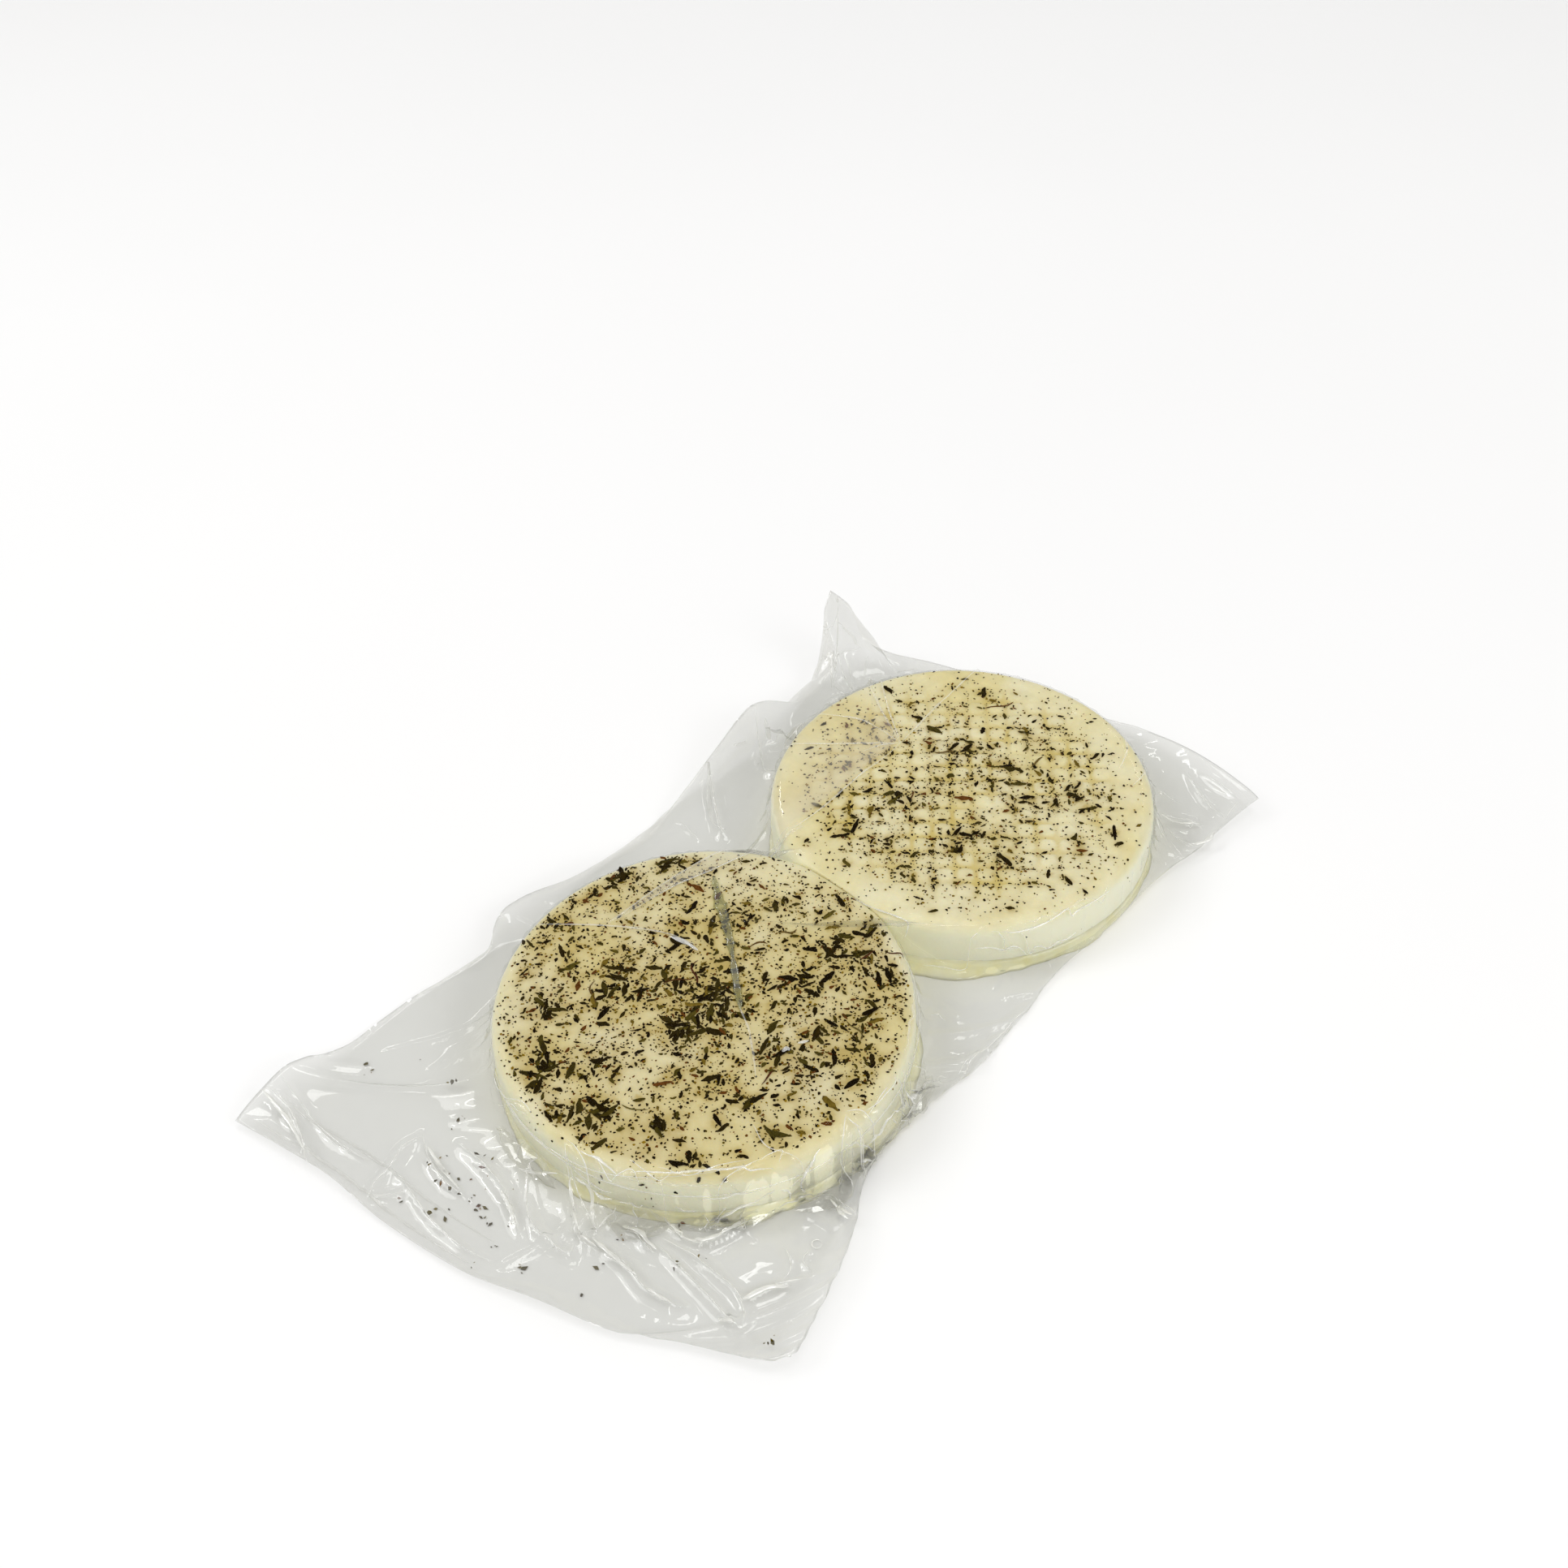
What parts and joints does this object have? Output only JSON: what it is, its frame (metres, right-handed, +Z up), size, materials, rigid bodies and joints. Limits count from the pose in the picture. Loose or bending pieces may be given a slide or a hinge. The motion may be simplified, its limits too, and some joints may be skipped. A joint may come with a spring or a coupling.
{
  "type": "saganaki cheese",
  "caption": "Round herb-coated frying cheeses side by side in a clear vacuum pouch, lying flat, with loose film margins and one raised film corner.",
  "frame": {"origin": "on the floor plane, under the middle of the whole pouch's box; the pouch's flat underside lies at z = 0", "axes": "+X along the pouch from its long free end to the short end behind the second cheese, +Z up out of the cheeses' tops, +Y towards the side with the raised corner"},
  "size_m": [0.2742, 0.1622, 0.0304],
  "materials": {
    "film": "thin clear pouch film, glossy, slightly milky where it lies double",
    "cheese": null,
    "herbs": null
  },
  "bodies": {
    "root": {"pouch": "film", "cheese_front": "cheese", "cheese_back": "cheese"}
  },
  "joints": []
}
